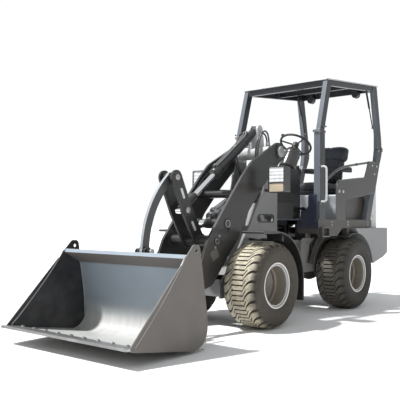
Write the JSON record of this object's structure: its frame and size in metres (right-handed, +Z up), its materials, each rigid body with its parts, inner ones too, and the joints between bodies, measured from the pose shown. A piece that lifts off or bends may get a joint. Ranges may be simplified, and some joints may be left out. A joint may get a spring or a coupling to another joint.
{
  "type": "compact articulated wheel loader",
  "caption": "Compact articulated wheel loader with a driver's canopy, twin-arm boom, tilt linkage and bucket, hinged behind its front axle.",
  "frame": {"origin": "on the ground, under the middle of the machine's box", "axes": "+X forward, +Y to the driver's left, +Z up"},
  "size_m": [4.418, 1.422, 2.6699],
  "materials": {
    "light_paint": "satin light grey paint",
    "dark_paint": "satin dark grey metallic paint",
    "bucket_paint": "semi-matt grey paint, scuffed inside",
    "counterweight_paint": "thick mid grey paint on a casting",
    "axle_paint": "matt black paint",
    "cylinder_paint": "gloss grey paint",
    "rim_silver": "silver lacquer",
    "rod_chrome": "hard chrome",
    "worn_steel": "worn bare steel",
    "black_plastic": "moulded, lightly grained",
    "hose_rubber": "smooth hose cover",
    "tyre": "moulded tread and sidewall, dusty",
    "clear_lens": "clear moulded lens",
    "amber_lens": "translucent amber",
    "seat_vinyl": "grained vinyl, dark navy",
    "engine_iron": "plain casting"
  },
  "bodies": {
    "rear": {"rear_frame": "light_paint", "rear_axle": "axle_paint", "engine_block": "engine_iron", "counterweight": "counterweight_paint", "rear_fenders": "black_plastic", "platform": "light_paint", "seat_box": "light_paint", "seat_frame": "black_plastic", "seat_cushions": "seat_vinyl", "console": "black_plastic", "driving_controls": "black_plastic", "rops_lower": "dark_paint", "rops_upper": "dark_paint", "roof_panel": "dark_paint", "side_guards": "dark_paint", "grab_handles": "light_paint", "gas_struts": "axle_paint", "work_lamps": "black_plastic", "step_boxes": "black_plastic"},
    "hood": {"hood": "light_paint"},
    "steering_wheel": {"steering_wheel": "black_plastic"},
    "front": {"front_frame": "light_paint", "front_axle": "axle_paint", "front_fenders": "black_plastic", "headlamp_housings": "black_plastic", "headlamp_lenses": "clear_lens", "indicator_lenses": "amber_lens", "tower_hoses": "hose_rubber"},
    "boom": {"boom": "dark_paint", "boom_hoses": "hose_rubber"},
    "lever": {"tilt_lever": "dark_paint"},
    "link": {"tilt_link": "dark_paint"},
    "tilt_barrel": {"tilt_cylinder_barrel": "cylinder_paint"},
    "tilt_rod": {"tilt_cylinder_rod": "rod_chrome"},
    "lift_barrel": {"lift_cylinder_barrel": "cylinder_paint"},
    "lift_rod": {"lift_cylinder_rod": "rod_chrome"},
    "steering_barrel": {"steering_cylinder_barrel": "cylinder_paint"},
    "steering_rod": {"steering_cylinder_rod": "rod_chrome"},
    "bucket": {"quick_hitch": "dark_paint", "bucket": "bucket_paint", "bucket_cutting_edge": "worn_steel"},
    "front_left_wheel": {"front_left_rim": "rim_silver", "front_left_tyre": "tyre"},
    "front_right_wheel": {"front_right_rim": "rim_silver", "front_right_tyre": "tyre"},
    "rear_left_wheel": {"rear_left_rim": "rim_silver", "rear_left_tyre": "tyre"},
    "rear_right_wheel": {"rear_right_rim": "rim_silver", "rear_right_tyre": "tyre"}
  },
  "joints": [
    {"name": "articulation", "type": "hinge", "parent": "rear", "child": "front", "pos_m": [-0.509, 0, 0.565], "axis": [0, 0, 1], "range_deg": [-40, 40]},
    {"name": "boom_lift", "type": "hinge", "parent": "front", "child": "boom", "pos_m": [-0.264, 0, 1.69], "axis": [0, -1, 0], "range_deg": [-3, 75]},
    {"name": "bucket_tilt", "type": "hinge", "parent": "boom", "child": "bucket", "pos_m": [1.291, 0, 0.33], "axis": [0, 1, 0], "range_deg": [-18, 118]},
    {"name": "lever_swing", "type": "hinge", "parent": "boom", "child": "lever", "pos_m": [0.749, 0, 0.795], "axis": [0, 1, 0], "range_deg": [-11, 68]},
    {"name": "link_swing", "type": "hinge", "parent": "bucket", "child": "link", "pos_m": [1.356, 0, 0.717], "axis": [0, 1, 0], "range_deg": [-117, 18.5]},
    {"name": "tilt_barrel_swing", "type": "hinge", "parent": "front", "child": "tilt_barrel", "pos_m": [-0.227, 0, 1.931], "axis": [0, -1, 0], "range_deg": [-4, 77]},
    {"name": "tilt_rod_slide", "type": "slide", "parent": "tilt_barrel", "child": "tilt_rod", "axis": [0.7992, 0, -0.6011], "range_m": [-0.32, 0.02]},
    {"name": "lift_barrel_swing", "type": "hinge", "parent": "front", "child": "lift_barrel", "pos_m": [-0.184, 0, 1.345], "axis": [0, -1, 0], "range_deg": [-4, 79]},
    {"name": "lift_rod_slide", "type": "slide", "parent": "lift_barrel", "child": "lift_rod", "axis": [0.8933, 0, -0.4495], "range_m": [-0.02, 0.45]},
    {"name": "steering_barrel_swing", "type": "hinge", "parent": "rear", "child": "steering_barrel", "pos_m": [-1.084, 0.16, 0.565], "axis": [0, 0, 1], "range_deg": [-5, 5]},
    {"name": "steering_rod_slide", "type": "slide", "parent": "steering_barrel", "child": "steering_rod", "axis": [0.9999, 0.0161, 0], "range_m": [-0.12, 0.12]},
    {"name": "hood_hinge", "type": "hinge", "parent": "rear", "child": "hood", "pos_m": [-2.187, 0, 0.915], "axis": [0, -1, 0], "range_deg": [0, 70]},
    {"name": "steering_wheel_turn", "type": "hinge", "parent": "rear", "child": "steering_wheel", "pos_m": [-1.028, 0, 1.864], "axis": [-0.544, 0, 0.8391], "continuous": true},
    {"name": "front_left_wheel_roll", "type": "hinge", "parent": "front", "child": "front_left_wheel", "pos_m": [0.316, 0.472, 0.3935], "axis": [0, 1, 0], "continuous": true},
    {"name": "front_right_wheel_roll", "type": "hinge", "parent": "front", "child": "front_right_wheel", "pos_m": [0.316, -0.472, 0.3935], "axis": [0, 1, 0], "continuous": true},
    {"name": "rear_left_wheel_roll", "type": "hinge", "parent": "rear", "child": "rear_left_wheel", "pos_m": [-1.334, 0.472, 0.3935], "axis": [0, 1, 0], "continuous": true},
    {"name": "rear_right_wheel_roll", "type": "hinge", "parent": "rear", "child": "rear_right_wheel", "pos_m": [-1.334, -0.472, 0.3935], "axis": [0, 1, 0], "continuous": true}
  ],
  "couplings": [
    {"joint": "lever_swing", "follows": "bucket_tilt", "ratio": 0.57},
    {"joint": "link_swing", "follows": "bucket_tilt", "ratio": -0.985},
    {"joint": "tilt_barrel_swing", "follows": "boom_lift", "ratio": 1.01},
    {"joint": "tilt_rod_slide", "follows": "boom_lift", "m_per_rad": -0.234},
    {"joint": "lift_barrel_swing", "follows": "boom_lift", "ratio": 1.042},
    {"joint": "lift_rod_slide", "follows": "boom_lift", "m_per_rad": 0.328},
    {"joint": "steering_barrel_swing", "follows": "articulation", "ratio": 0.076},
    {"joint": "steering_rod_slide", "follows": "articulation", "m_per_rad": -0.161}
  ]
}
